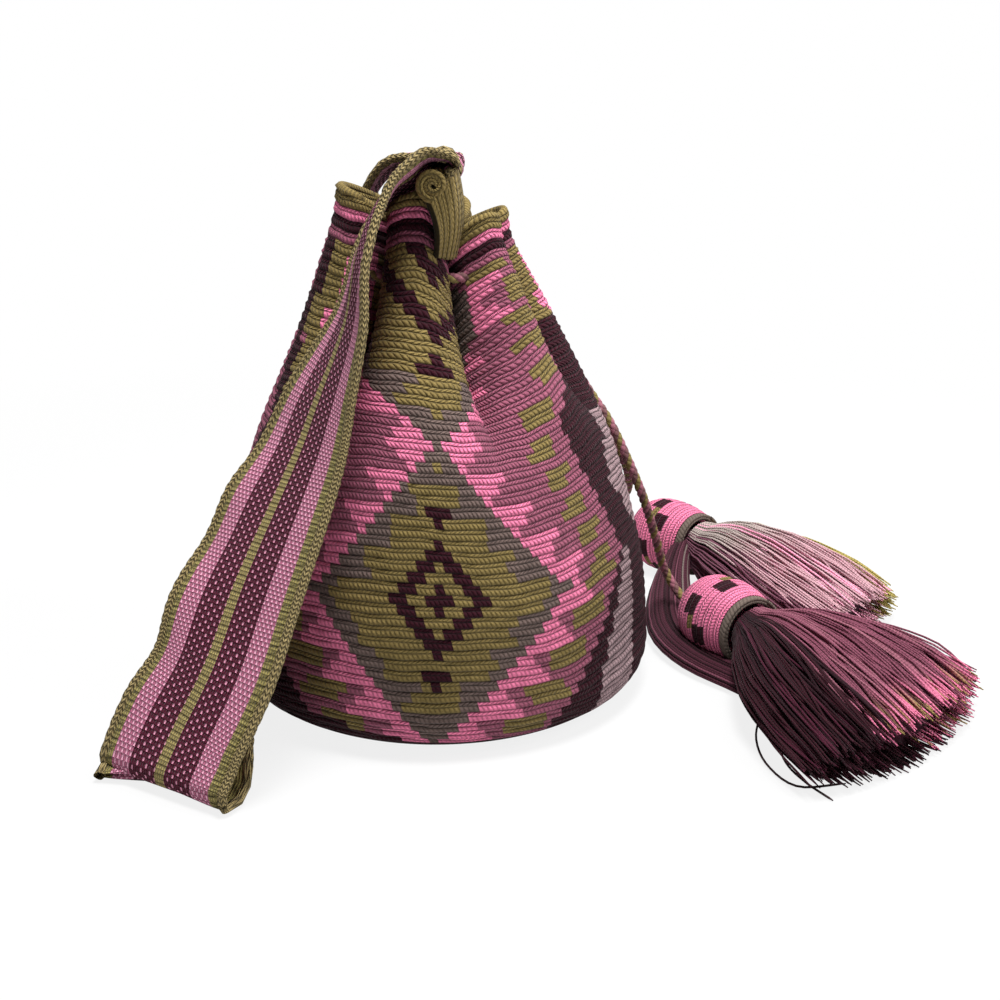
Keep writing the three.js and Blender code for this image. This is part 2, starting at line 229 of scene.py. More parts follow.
def spokes(side, lift, turn):
    """Directions round a line, for each of its points and each turn."""
    return side[:, None] * np.cos(turn)[None, :, None] + lift[:, None] * np.sin(turn)[None, :, None]


def tube(points, radius, around):
    """Rings of a tube round a line."""
    _, side, lift = carried_frames(points)
    turn = np.linspace(0, FULL_TURN, around, endpoint=False)
    return points[:, None] + spokes(side, lift, turn) * radius


def closed(loop):
    """Rings with both ends drawn together to a point."""
    ends = [np.repeat(loop[[i]].mean(1, keepdims=True), loop.shape[1], 1) for i in (0, -1)]
    return np.concatenate([ends[0], loop, ends[1]])


def ridge_of(rise, leg, chain):
    """Height of a crochet row's ridge: legs over the first share of the row, then the chain above."""
    return np.where(rise < leg, np.sin(np.pi * rise / leg), chain)


def put(name, data):
    """An object in the scene, made from its data."""
    item = bpy.data.objects.new(name, data)
    bpy.context.scene.collection.objects.link(item)
    return item


class Mould:
    """Gathers patches of quads into one piece."""

    def __init__(self):
        self.points, self.faces, self.coords, self.point_colours = [], [], [], []
        self.count = 0

    def patch(self, points, u, v, wrap=False, point_colour=None):
        """A grid of points by row and column. When it wraps, u and v have one column more."""
        rows, cols = points.shape[:2]
        r = np.arange(rows - 1)[:, None]
        c = np.arange(cols if wrap else cols - 1)[None, :]
        corners = [(r, c), (r, c + 1), (r + 1, c + 1), (r + 1, c)]
        self.faces.append(
            np.stack([self.count + a * cols + b % cols for a, b in corners], -1).reshape(-1, 4)
        )
        uv = np.stack(np.broadcast_arrays(u, v), -1)
        self.coords.append(np.stack([uv[a, b] for a, b in corners], -2).reshape(-1, 2))
        self.points.append(points.reshape(-1, 3))
        if point_colour is not None:
            self.point_colours.append(np.broadcast_to(point_colour, (rows, cols, 4)).reshape(-1, 4))
        self.count += rows * cols

    def make(self, name, finish, node):
        """The finished piece, riding on the body and standing for the CAD node it replaces."""
        mesh = bpy.data.meshes.new(name)
        mesh.from_pydata(np.vstack(self.points).tolist(), [], np.vstack(self.faces).tolist())
        layer = mesh.uv_layers.new(name="stitches")
        layer.data.foreach_set("uv", np.vstack(self.coords).astype(np.float32).ravel())
        if self.point_colours:
            point_colour = mesh.color_attributes.new("point_colour", "FLOAT_COLOR", "POINT")
            point_colour.data.foreach_set("color", np.vstack(self.point_colours).astype(np.float32).ravel())
        mesh.polygons.foreach_set("use_smooth", [True] * len(mesh.polygons))
        mesh.materials.append(finish)
        mesh.update()
        piece = put(name, mesh)
        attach(piece, "root")
        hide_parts(node)
        return piece


class Value:
    """A socket whose arithmetic adds Math nodes to its tree."""

    def __init__(self, nodes, socket):
        self.nodes = nodes
        self.socket = socket

    def math(self, operation, *others):
        sockets = dict(enumerate((self, *others)))
        return self.nodes.node("ShaderNodeMath", {"operation": operation}, sockets)

    def operator(operation):
        return lambda self, *others: self.math(operation, *others)

    __add__ = __radd__ = operator("ADD")
    __mul__ = __rmul__ = operator("MULTIPLY")
    __sub__ = operator("SUBTRACT")
    __truediv__ = operator("DIVIDE")
    __pow__ = operator("POWER")
    __mod__ = operator("FLOORED_MODULO")
    __lt__ = operator("LESS_THAN")
    __gt__ = operator("GREATER_THAN")
    __abs__ = operator("ABSOLUTE")
    floor = operator("FLOOR")
    least = operator("MINIMUM")
    most = operator("MAXIMUM")

    def __rsub__(self, other):
        return self.nodes.node("ShaderNodeMath", {"operation": "SUBTRACT"}, {0: other, 1: self})

    def near(self, other, slack=0.5):
        return self.math("COMPARE", other, slack)

    def hump(self):
        """0 at both ends of the unit range and 1 in its middle."""
        return self * (1 - self) * 4


class Nodes:
    """A node tree, with one method that adds any node to it."""

    def __init__(self, tree):
        self.tree = tree

    def node(self, kind, settings=None, sockets=None, out=0):
        node = self.tree.nodes.new(kind)
        for name, value in (settings or {}).items():
            setattr(node, name, value)
        for key, value in (sockets or {}).items():
            if isinstance(value, Value):
                self.tree.links.new(value.socket, node.inputs[key])
            else:
                node.inputs[key].default_value = value
        return Value(self, node.outputs[out])


class Finish(Nodes):
    """A yarn or cloth material built from nodes."""

    def __init__(self, name, sheen=0.05):
        self.material = bpy.data.materials.new(name)
        self.material.use_nodes = True
        super().__init__(self.material.node_tree)
        self.shader = self.tree.nodes["Principled BSDF"]
        self.shader.inputs["Roughness"].default_value = 0.88
        self.shader.inputs["Specular IOR Level"].default_value = 0.15
        self.shader.inputs["Sheen Weight"].default_value = sheen
        self.shader.inputs["Sheen Roughness"].default_value = 0.4

    def stitch_grid(self):
        """The piece's own coordinates: stitches round it and rows along it."""
        uv = self.node("ShaderNodeUVMap", {"uv_map": "stitches"})
        return [self.node("ShaderNodeSeparateXYZ", None, {0: uv}, axis) for axis in (0, 1)]

    def noise(self, scale):
        spot = self.node("ShaderNodeTexCoord", None, None, "Object")
        sockets = {"Vector": spot, "Scale": scale, "Detail": 2.0}
        return self.node("ShaderNodeTexNoise", None, sockets, "Fac")

    def chance(self, u, v):
        """A number from 0 to 1 for each stitch."""
        spot = self.node("ShaderNodeCombineXYZ", None, {0: u, 1: v})
        return self.node("ShaderNodeTexWhiteNoise", {"noise_dimensions": "2D"}, {"Vector": spot})

    def mix(self, factor, first, second, blend="MIX"):
        settings = {"data_type": "RGBA", "blend_type": blend}
        colours = [linear(c) if isinstance(c, str) else c for c in (first, second)]
        return self.node("ShaderNodeMix", settings, {0: factor, 6: colours[0], 7: colours[1]}, 2)

    def worked(self, colour, *layers):
        """The colour with others worked over it, each where its mask is 1."""
        for mask, yarn in layers:
            colour = self.mix(mask, colour, yarn)
        return colour

    def shaded(self, colour, light):
        """The colour made lighter or darker by a number."""
        grey = self.node("ShaderNodeCombineColor", None, {0: light, 1: light, 2: light})
        return self.mix(1.0, colour, grey, "MULTIPLY")

    def wear(self, colour, height, depth):
        """Gives the shader its colour and its relief, and returns the material."""
        bump = self.node("ShaderNodeBump", None, {"Strength": 1.0, "Distance": depth, "Height": height})
        self.tree.links.new(colour.socket, self.shader.inputs["Base Color"])
        self.tree.links.new(bump.socket, self.shader.inputs["Normal"])
        return self.material


# Camera at the photograph's viewing angle.
CAMERA_TARGET = Vector((0.032, 0.0, 0.100))
CAMERA_DISTANCE = 0.880
CAMERA_ELEVATION = 18
camera_data = bpy.data.cameras.new("camera")
camera_data.lens = 58.93
camera_data.sensor_width = 36
camera = put("camera", camera_data)
tilt = math.radians(CAMERA_ELEVATION)
camera.location = CAMERA_TARGET + CAMERA_DISTANCE * Vector((0, -math.cos(tilt), math.sin(tilt)))
camera.rotation_euler = (math.pi / 2 - tilt, 0, 0)
bpy.context.scene.camera = camera


def yarn_finish(name):
    """Twisted yarn in the colour that the piece carries at its points, with painted shade between the
    plies.
    """
    finish = Finish(name)
    around, along = finish.stitch_grid()
    ply = ((around + along) % 1).hump()
    fuzz = finish.noise(2600)
    point_colour = finish.node("ShaderNodeVertexColor", {"layer_name": "point_colour"})
    # Painted shade where the plies meet and painted highlight on each ply; the fuzz is random tone.
    light = 0.8 + 0.24 * ply + 0.2 * (fuzz - 0.5)
    return finish.wear(finish.shaded(point_colour, light), ply + 0.3 * fuzz, 0.0003)


def tassel_point(tassel, along):
    apex = np.array((*tassel["apex"], 0.0)) * BAG_RADIUS / 100
    turn = math.radians(tassel["heading"])
    ahead = np.array((math.cos(turn), math.sin(turn), 0.0))
    return apex + ahead * along + (0, 0, CAP_RADIUS + GAP)


def tail(tassel, points):
    """The cord's way from the wall to the knot in a cap."""
    ends = [tassel_point(TASSELS[tassel], along) for along in (-0.014, -0.005, KNOT_DEPTH)]
    return np.vstack([place(points), ends])


def ring_points():
    height = FOLD_FULL * RIM_HEIGHT
    radius = RING_SHARE * WALL_LINE[4][1] / 100 * BAG_RADIUS
    turns = np.radians(np.linspace(RING_FROM, RING_TO, RING_POINTS + 1))
    flat = np.stack([radius * np.cos(turns) - LEAN * height, radius * np.sin(turns)], 1)
    return np.column_stack([flat, np.full(len(turns), height)])


def drawstring():
    """Three plies twisted together, from the knot in one tassel to the knot in the other."""
    PLIES = ("8f5a66", "75683f", "6b4a4c")
    PITCH = 0.013  # length of one turn of the plies
    YARN_PITCH = 0.0022  # length of one turn of the yarn in a ply
    SIDES = 8
    STEP = 0.0016
    KNOT_TURN, KNOT_YARN, KNOT_STEPS = 0.0022, 0.0021, 25
    route = np.vstack([tail("back", BACK_TAIL)[::-1], ring_points(), tail("front", FRONT_TAIL)])
    shares, length = even_shares(route, STEP)
    line = through(route, shares)
    gone = np.linspace(0, length, len(line))
    _, side, lift = carried_frames(line)
    mould = Mould()
    ply_radius = 0.29 * CORD_DIAMETER
    around = np.linspace(0, 1, SIDES + 1)[None, :]
    for k, colour in enumerate(PLIES):
        turn = FULL_TURN * (gone / PITCH + k / len(PLIES))
        shift = side * np.cos(turn)[:, None] + lift * np.sin(turn)[:, None]
        ply = line + shift * (CORD_DIAMETER / 2 - ply_radius)
        mould.patch(tube(ply, ply_radius, SIDES), around, gone[:, None] / YARN_PITCH, True, linear(colour))
    for end, tassel in ((0, "back"), (-1, "front")):
        knot_turn = np.linspace(0, FULL_TURN, KNOT_STEPS)
        ahead = unit(tassel_point(TASSELS[tassel], 1) - tassel_point(TASSELS[tassel], 0))
        across = np.cross(ahead, (0, 0, 1))
        ring = np.outer(np.cos(knot_turn), across) + np.outer(np.sin(knot_turn), (0, 0, 1))
        back = np.outer(knot_turn / FULL_TURN - 1.4, ahead) * 0.0025
        rings = tube(line[end] + KNOT_TURN * ring + back, KNOT_YARN, SIDES)
        mould.patch(rings, around, np.arange(KNOT_STEPS)[:, None], True, linear(MAUVE))
    piece = mould.make("drawstring_cord", yarn_finish("twisted_cord"), "drawstring")
    return piece, line, length


drawstring_cord, cord_line, cord_length = drawstring()


def crocheted(finish, u, v, colour, depth):
    """Material of crochet rows: slanted legs below, a chain leaning back above them, with painted shade in
    the grooves between rows and strokes and a painted highlight on the chain.
    """
    LEG_SHARE = 0.62  # of a row's height
    STROKES = 2  # strands of yarn that show in a stitch
    CLOUDS, FIBRE, FUZZ = 45, 1500, 1800
    rise = v % 1
    low = rise < LEG_SHARE
    leg_rise = rise / LEG_SHARE
    loop_rise = (rise - LEG_SHARE) / (1 - LEG_SHARE)
    leg = leg_rise.hump().most(0) ** 0.35
    loop = loop_rise.hump().most(0) ** 0.5
    leg_stroke = ((u * STROKES + leg_rise * 0.8) % 1).hump()
    loop_stroke = ((u * STROKES - loop_rise * 0.9) % 1).hump()
    relief = low * leg * (0.62 + 0.38 * leg_stroke) + (1 - low) * loop * (0.55 + 0.45 * loop_stroke)
    # Painted shade: near-black grooves between the rows and darker lines between the strokes; painted
    # highlight on the top of the chain.
    leg_light = (0.08 + 0.78 * leg) * (0.8 + 0.22 * leg_stroke)
    loop_light = (0.14 + 0.92 * loop) * (0.76 + 0.3 * loop_stroke)
    light = low * leg_light + (1 - low) * loop_light
    # Uneven dye: a little in each stitch, a little in clouds, and fine fibre.
    chance, cloud, fibre = finish.chance(u.floor(), v.floor()), finish.noise(CLOUDS), finish.noise(FIBRE)
    light = light * (1 + 0.14 * (chance - 0.5) + 0.3 * (cloud - 0.5) + 0.35 * (fibre - 0.5))
    return finish.wear(finish.shaded(colour, light), relief + 0.25 * finish.noise(FUZZ), depth)


def stitch_column(u, v):
    """The stitch that a point belongs to, counted round the piece: stitches lean a little."""
    return (u + 0.35 * (v % 1)).floor()


def bag_crochet():
    """Stepped diamonds, zigzag bands and rim stripes, worked stitch by stitch."""
    REPEAT, TALL = 75, 28  # stitches and rows from one diamond to the next
    FIRST_ROW = 15  # middle of the lower diamond
    UPPER_ROW, HIGH_MOTIF = 29, 46  # the upper diamond's first row and the middle of its motif
    HALF, SLOPE = 15, 1.05  # stitches from a diamond's middle to its corner, and fewer in each row above it
    STEP = 3  # rows in a step of the bands
    NECK_ROW = 38  # from here up the second bands run all round
    DRAWN, DRAWN_FROM, DRAWN_ROWS = 2.7, 34, 6  # stitches drawn in at the neck, and the rows it takes
    BAND, SHOULDER, LOW = 10.4, 7.8, 0.17  # stitches in the bands, more at the shoulder and in low rows
    SHOULDER_END, SHOULDER_ROWS = 42, 10
    PINK_BAND, OLIVE_FROM, OLIVE_TO = 1.2, 6.7, 3.4  # out from a diamond, and back from the dark
    CORE, CORE_ROW, CORE_ROWS = 25.5, 21.5, (15.5, 27.5)  # pale cloth in the dark zigzag
    TOOTH = 0.8  # stitches that a tooth gains in each row
    SECOND_BANDS = [(5, 9.5, PINK), (9.5, 12, OLIVE), (12, 14, BURGUNDY)]  # stitches past the dark line
    RIM_STRIPES = [(47, MAUVE), (48, BURGUNDY), (49, PINK), (50, OLIVE)]
    finish = Finish("bag_crochet")
    u, v = finish.stitch_grid()
    row = v.floor()
    column = stitch_column(u, v)
    turned = (column + REPEAT / 2) % REPEAT - REPEAT / 2
    dx = abs(turned)
    climb = (row - FIRST_ROW + TALL / 2) % TALL - TALL / 2
    dy = abs(climb)
    upper = row > UPPER_ROW - 0.5
    drawn_in = DRAWN * ((row - DRAWN_FROM) / DRAWN_ROWS).most(0).least(1)
    half = (HALF - dy * SLOPE).least(HALF - drawn_in)
    inside = half > dx - 0.01
    # Outside the diamonds the bands widen towards the shoulder, where the cloth is pulled apart.
    risen = ((row - FIRST_ROW) / (TALL / 2)).least(1)
    risen = risen.least((SHOULDER_END - row) / SHOULDER_ROWS).most(0)
    dark = BAND + SHOULDER * risen + LOW * (FIRST_ROW - row).most(0)
    edge = dx - half
    stair = dx - HALF + drawn_in + (dy / STEP).floor() * (STEP * SLOPE)
    stepped = (dy + 0.5) % STEP < 2
    wide = (row < FIRST_ROW) * 0.9
    pink_teeth = stair < PINK_BAND + (dy % STEP) * TOOTH + wide
    olive_teeth = (stair > dark - OLIVE_FROM - wide) * (stair < dark - OLIVE_TO + wide) * stepped
    # The dark zigzag between two diamonds has toothed pale cloth in its middle.
    tooth = CORE + abs(row - CORE_ROW) + ((row + 1) % STEP) * TOOTH
    core = (dx > tooth) * (row > CORE_ROWS[0]) * (row < CORE_ROWS[1])
    low_core = (dx > 20.5 + 0.45 * (row - 4).most(0)) * (dx < 28) * (row < FIRST_ROW)
    # On the strap's side and near the rim a second olive and pink band follows a thin dark line.
    from_strap = abs((column + 1.5 * REPEAT) % STITCHES - REPEAT)
    strap_side = (from_strap < REPEAT / 2) * (row > 18)
    past = (edge - dark) * strap_side.most(row > NECK_ROW - 0.5)
    # Inside: olive with taupe teeth along the edge and a burgundy ring, cross and two bars.
    uneven = finish.chance(row, turned > 0) * 1.6 - 0.8
    teeth = dx > ((half - 1) / STEP).floor() * STEP - 0.5 + uneven
    low_ring = (dx + dy).near(4.5, 0.6).most(dx + dy < 1.5) * (1 - upper)
    high = dx + abs(row - HIGH_MOTIF)
    high_ring = high.near(6.5, 0.6).most(high.near(1.5, 0.6)) * upper
    bar = (climb.near(8) + climb.near(-7)) * (dx < 1.5)
    stem = (climb.near(7) + climb.near(2 * upper - 8)) * (dx < 0.5)
    motif = low_ring.most(high_ring).most(bar).most(stem)
    # The plain base ends a little higher on one side of each diamond.
    base_edge = 0.5 + (0 - turned / 6).most(0).least(2)
    colour = finish.worked(
        MAUVE,
        (pink_teeth, PINK),
        (olive_teeth, OLIVE),
        (edge > dark, BURGUNDY),
        (core.most(low_core), LILAC),
        (past > 1.2, MAUVE),
        ((past > 2) * (past < 5) * stepped, OLIVE),
        *[((past > start) * (past < end), yarn) for start, end, yarn in SECOND_BANDS],
        (inside, finish.worked(OLIVE, (teeth, TAUPE), (motif, BURGUNDY))),
        *[(row > first - 0.5, yarn) for first, yarn in RIM_STRIPES],
        (row < base_edge, BURGUNDY),
    )
    return crocheted(finish, u, v, colour, 0.0022)


def plain_crochet(name, colour):
    finish = Finish(name)
    return crocheted(finish, *finish.stitch_grid(), linear(colour), FINE_RELIEF)


def braid(name, colour):
    """Herringbone edging: short strands that lean towards each other, six pairs round it."""
    PAIRS = 6
    finish = Finish(name)
    along, around = finish.stitch_grid()
    lean = abs((around * PAIRS) % 1 - 0.5) * 2
    strand = ((along + 0.55 * lean) % 1).hump()
    seam = lean.hump().most(0) ** 0.4
    # Painted shade between the strands and along the lines where the pairs meet, painted highlight on each
    # strand; the noise is random tone.
    light = (0.26 + 0.9 * strand) * (0.5 + 0.5 * seam) * (1 + 0.9 * (finish.noise(900) - 0.5))
    return finish.wear(finish.shaded(linear(colour), light), strand * (0.4 + 0.6 * seam), 0.0016)


def lobe(bearing):
    """Which lobe a bearing lies on, its share across that lobe and the lobe's width in degrees."""
    ends = np.append(FOLD_AT[1:], FOLD_AT[0] + 360)
    turned = (np.asarray(bearing, float) - FOLD_AT[0]) % 360 + FOLD_AT[0]
    k = np.searchsorted(FOLD_AT, turned, side="right") - 1
    width = ends[k] - FOLD_AT[k]
    return k, (turned - FOLD_AT[k]) / width, width


def crown(bearing):
    """How far out the wall stands between two folds, with the folds' depth and drag there."""
    k, share, _ = lobe(bearing)
    after = (k + 1) % len(FOLDS)
    out = np.sin(np.pi * share) ** 0.85
    depth, drag = (each[k] + (each[after] - each[k]) * share for each in (FOLD_DEPTH, FOLD_DRAG))
    return out, depth, drag


def stitch_count(bearing, pull):
    """Stitches from the front diamond's middle: even low down, gathered into the creases higher up."""
    k, share, width = lobe(bearing)
    middle, shown = LOBE_MIDDLE[k], LOBE_SHOWN[k]
    side = 2 * share - 1
    rest = np.where(side > 0, 1 - middle, middle) - shown / 2
    gathered = middle + shown * side / 2 + rest * side**9
    even = STITCHES * (bearing - FRONT_BEARING) / 360
    return even + pull * (gathered - share) * width * STITCHES / 360


def rim_rise(bearing):
    stand = RIM_SWAY["tab"] * np.exp(-(((bearing - RIM_SWAY["tab_at"]) / RIM_SWAY["tab_width"]) ** 2))
    tilt = RIM_SWAY["tilt"] * np.cos(np.radians(bearing - RIM_SWAY["high"]))
    return (tilt + stand - RIM_SWAY["drop"]) * RIM_HEIGHT / 100


def wall_point(radius, height, bearing):
    """A point of the bag's outside, and how far its crochet row is dragged down past it."""
    SAG, SAG_TURN, SAG_RISE = 0.0009, 40, 46  # hand-made unevenness of the wall
    SWAY_START = 0.75  # share of the height from where the rim's rise and fall shows
    bearing = np.asarray(bearing, float) % 360
    out, depth, drag = crown(bearing)
    pull = smoothstep(height, FOLD_START * RIM_HEIGHT, FOLD_FULL * RIM_HEIGHT)
    reach = radius * (1 - depth * pull * (1 - out))
    sag = SAG * np.sin(np.radians(3 * bearing + SAG_TURN)) * np.sin(height * SAG_RISE)
    turn = np.radians(bearing)
    dragged = drag * (1 - out) * pull
    on_tab = (bearing > 255) & (bearing < TAB_EDGE[1])
    sunk = dragged * np.where(on_tab, smoothstep(bearing, *TAB_EDGE), 1.0)
    sway = smoothstep(height, SWAY_START * RIM_HEIGHT, RIM_HEIGHT) * rim_rise(bearing)
    x = (reach + sag) * np.cos(turn) - LEAN * height
    y = (reach + sag) * np.sin(turn)
    return np.stack(np.broadcast_arrays(x, y, height + sway - sunk), -1), dragged - sunk


def wall_profile(step):
    """Heights, radii and rows up the outside, from the base's edge to the rim."""
    corner_top = WALL_LINE[0][0] / 100 * RIM_HEIGHT
    turn = np.linspace(0, math.pi / 2, 30)[:-1]
    corner = np.stack(
        [corner_top * (1 - np.cos(turn)), BAG_RADIUS - BASE_CORNER * (1 - np.sin(turn))], 1
    )
    wall = through(np.array(WALL_LINE) * (RIM_HEIGHT, BAG_RADIUS) / 100, np.linspace(0, 1, 300))
    line = np.vstack([corner, wall])
    gone = travelled(line)
    count = int(gone[-1] / step)
    at = np.linspace(0, gone[-1], count + 1)
    height, radius = (np.interp(at, gone, line[:, i]) for i in (0, 1))
    marks = np.array([np.interp(z, line[:, 0], gone) for z, _ in ROW_MARKS])
    rows = np.array([row for _, row in ROW_MARKS], float)
    row_height = (marks[1] - marks[0]) / (rows[1] - rows[0])
    below = rows[0] - (marks[0] - at) / row_height
    return height, radius, np.where(at < marks[0], below, np.interp(at, marks, rows)), row_height


def bag():
    """Base, wall, rim and inside as one shell with a ridge for every row."""
    COLUMNS = 300
    RIDGE = 0.0013  # height of a row's ridge
    LEG = 0.68  # share of a row below its chain
    STEP, INSIDE = 0.0014, -6  # distance between rings, and every sixth from the rim down for the inside
    BASE_RINGS, RIM_RINGS, FLOOR_RINGS = 26, 7, 8
    TIP = 0.002  # what is left open in the middle of the base and the floor, as a share
    height, radius, rows, row_height = wall_profile(STEP)
    bearing = 90 + np.linspace(0, 360, COLUMNS + 1)
    points, dragged = wall_point(radius[:, None], height[:, None], bearing[None, :-1])
    around = np.roll(points, -1, 1) - np.roll(points, 1, 1)
    out = unit(np.cross(around, np.gradient(points, axis=0)))
    turn = np.radians(bearing[None, :-1])
    waves = sum(
        size * np.sin(count * turn + shift + drift * rows[:, None])
        for size, count, shift, drift in ROW_WAVES
    )
    bulge = SLUMP["rows"] * np.exp(-(((bearing[None, :-1] - SLUMP["at"]) / SLUMP["width"]) ** 2))
    bulge = bulge * (smoothstep(rows, 2, 10) * (1 - smoothstep(rows, 36, 46)))[:, None]
    row = rows[:, None] + dragged / row_height + waves - bulge
    rise = row % 1
    ridge = ridge_of(rise, LEG, 0.3 + 0.35 * np.sin(np.pi * (rise - LEG) / (1 - LEG)))
    ridge = ridge * smoothstep(rows, 0, 2)[:, None]
    outside = points + out * (RIDGE * (ridge - 0.4))[..., None]
    outside[..., 2] = np.maximum(outside[..., 2], 0.0002)
    # The base, from its middle out to the first ring of the wall.
    reach = np.linspace(TIP, 1, BASE_RINGS)[:-1, None, None]
    middle = outside[0].mean(0)
    base = middle + (outside[0] - middle)[None] * reach
    base_rows = rows[0] - (1 - reach[..., 0]) * radius[0] / row_height
    # The rim turns over, and the inside follows the wall down to the floor.
    turn = np.linspace(0, math.pi, RIM_RINGS)[1:-1, None, None]
    up = unit(points[-1] - points[-3])
    mid = points[-1] - out[-1] * WALL / 2
    rim = mid + out[-1] * np.cos(turn) * WALL / 2 + up * np.sin(turn) * WALL / 2
    inner = (points - out * WALL)[::INSIDE]
    inner[..., 2] = np.maximum(inner[..., 2], WALL)
    shrink = np.linspace(1, TIP, FLOOR_RINGS)[1:, None, None]
    centre = inner[-1].mean(0)
    floor = centre + (inner[-1] - centre)[None] * shrink
    # Each part's points, its rows and how far its stitches are gathered.
    pull = smoothstep(height, FOLD_START * RIM_HEIGHT, GATHERED * RIM_HEIGHT)[:, None]
    parts = [(base, base_rows, 0.0), (outside, row, pull), (rim, row[-1:], 1.0)]
    parts += [(inner, row[::INSIDE], pull[::INSIDE]), (floor, -2.0, 0.0)]
    shell = np.concatenate([part[0] for part in parts])
    grids = [[np.broadcast_to(part[k], part[0].shape[:2]) for part in parts] for k in (1, 2)]
    v, pull = (np.pad(np.concatenate(grid), ((0, 0), (0, 1)), "wrap") for grid in grids)
    mould = Mould()
    lean = np.interp(v, [1.5, 15.5, 29.5], [1.65, 0.43, 0.1])  # the columns lean on the way up
    mould.patch(shell, stitch_count(bearing[None, :], pull) + lean, v, True)
    mould.make("bag_shell", bag_crochet(), "bag_body")


bag()


def strap_weave():
    """Warp-faced stripes with picked-up dots, a laddered middle and hand-stitched borders."""
    WARPS = 50
    finish = Finish("strap_weave")
    u, v = finish.stitch_grid()
    warp = (u * WARPS).floor()
    pick = v.floor()
    across = (u * WARPS) % 1
    along = v % 1
    over = ((warp + pick) % 2) < 0.5
    bead = across.hump() * along.hump()
    pink = finish.mix(over, "a85c78", "e6a2bb")
    diagonal = ((warp + 2 * (pick % 2)) % 4) < 0.5
    dot = diagonal * (bead > 0.3)
    burgundy = finish.mix(dot, STRAP_BURGUNDY, "d08aa3")
    # Dark and light copies of one olive: painted highlight on each rung of the ladder, painted shade
    # between the rungs.
    bars = (v * 0.5) % 1
    ladder = finish.mix(bars.hump() ** 0.7, "5d5230", "a3935e")
    # Painted highlight on each stroke of the border, painted shade between the strokes.
    border = finish.mix(((v * 0.62 + u * 4) % 1).hump(), "4d4527", "9d9058")
    # Where each stripe starts, as a share of the width.
    starts = (0.06, 0.22, 0.45, 0.535, 0.765, 0.925)
    stripes = (pink, burgundy, ladder, burgundy, pink, border)
    colour = finish.worked(border, *[(u > start, stripe) for start, stripe in zip(starts, stripes)])
    fuzz = finish.noise(1700)
    # Painted shade round each thread's bead and painted highlight in its middle; the fuzz and cloud noise
    # are random tone.
    light = 0.66 + 0.4 * bead ** 0.5 + 0.3 * (fuzz - 0.5) + 0.2 * (finish.noise(60) - 0.5)
    height = bead ** 0.6 * (0.6 + 0.4 * over) + 0.2 * fuzz
    return finish.wear(finish.shaded(colour, light), height, 0.0011)


def strap_frames(step):
    """Middle, directions across and out, half width and distance at even steps along the strap."""
    stations = place(STRAP_LINE)
    shares, length = even_shares(stations, step)
    middle = through(stations, shares)
    along = unit(np.gradient(middle, axis=0))
    across = through([row[3:6] for row in STRAP_LINE], shares)
    across = unit(across - along * (across * along).sum(1, keepdims=True))
    widths = through([(i, row[6]) for i, row in enumerate(STRAP_LINE)], shares)[:, 1]
    half = widths / 200 * STRAP_WIDTH
    lowest = half * abs(across[:, 2]) + EDGING_DIAMETER / 2 + GAP
    middle[:, 2] = np.maximum(middle[:, 2], lowest)
    return middle, across, np.cross(along, across), half, np.linspace(0, length, len(shares))


def strap_lift(half, gone, middle, x):
    """How far the band stands off its middle plane: gathers where it is bunched, ripples at the edge."""
    GATHER, RIPPLE, RIPPLE_LENGTH = 0.003, 0.0022, 0.062
    bunched = 1 - 2 * half / STRAP_WIDTH
    gathers = GATHER * bunched[:, None] * np.cos(3 * math.pi * x)
    free = smoothstep(middle[:, 2], 0.012, 0.045) * (1 - smoothstep(middle[:, 2], 0.12, 0.17))
    free = free * (middle[:, 1] < -0.06)
    ripple = RIPPLE * np.sin(FULL_TURN * gone / RIPPLE_LENGTH)[:, None] * np.clip(-2 * x, 0, 1) ** 2
    return gathers + free[:, None] * ripple


def strap():
    """The woven band and the crocheted edging down each side."""
    STEP, COLUMNS, SIDES = 0.0017, 43, 14
    PICK, EDGE_STITCH = 0.0021, 0.0024  # lengths of a weft pick and of a stitch of the edging
    middle, across, face, half, gone = strap_frames(STEP)
    x = np.linspace(-0.5, 0.5, COLUMNS)[None, :]
    wide = (half - EDGING_WIDTH + 0.0006)[:, None]
    lift = strap_lift(half, gone, middle, x)
    # The two faces of the band, slightly thinner at the borders.
    thick = STRAP_THICKNESS / 2 * (1 - 0.35 * (2 * x) ** 8)

    def surface(side):
        flat = middle[:, None] + across[:, None] * (2 * wide * x)[..., None]
        return flat + face[:, None] * (lift + side * thick)[..., None]

    loop = np.concatenate([surface(1), surface(-1)[:, ::-1]], 1)
    u = np.concatenate([x + 0.5, (x + 0.5)[:, ::-1], [[0.0]]], 1)
    to_ends = np.concatenate([gone[:1], gone, gone[-1:]])[:, None]
    mould = Mould()
    mould.patch(closed(loop), u, to_ends / PICK, True)
    band = mould.make("strap_woven_band", strap_weave(), "strap_band")
    finish = braid("strap_edging", EDGING_OLIVE)
    for name, side in (("right", 1), ("left", -1)):
        rise = strap_lift(half, gone, middle, np.array([[0.5 * side]]))
        line = middle + across * (side * (half - EDGING_WIDTH / 2))[:, None] + face * rise
        turn = np.linspace(0, FULL_TURN, SIDES + 1)
        knob = 1 + 0.10 * np.sin(FULL_TURN * gone[:, None] / EDGE_STITCH + 3 * turn[None, :-1])
        spoke = spokes(across * side, face * 0.9, turn[:-1])
        rings = line[:, None] + spoke * (EDGING_WIDTH / 2 * knob)[..., None]
        rings[..., 2] = np.maximum(rings[..., 2], 0.0003)
        ends = [np.repeat(line[[i], None], SIDES, 1) for i in (0, -1)]
        rings = np.concatenate([ends[0], rings, ends[1]])
        mould = Mould()
        rows = np.linspace(0, 1, SIDES + 1)[None, :]
        mould.patch(rings if side < 0 else rings[:, ::-1], to_ends / EDGE_STITCH, rows, True)
        mould.make(f"strap_edging_{name}_crochet", finish, f"strap_edging_{name}")


strap()


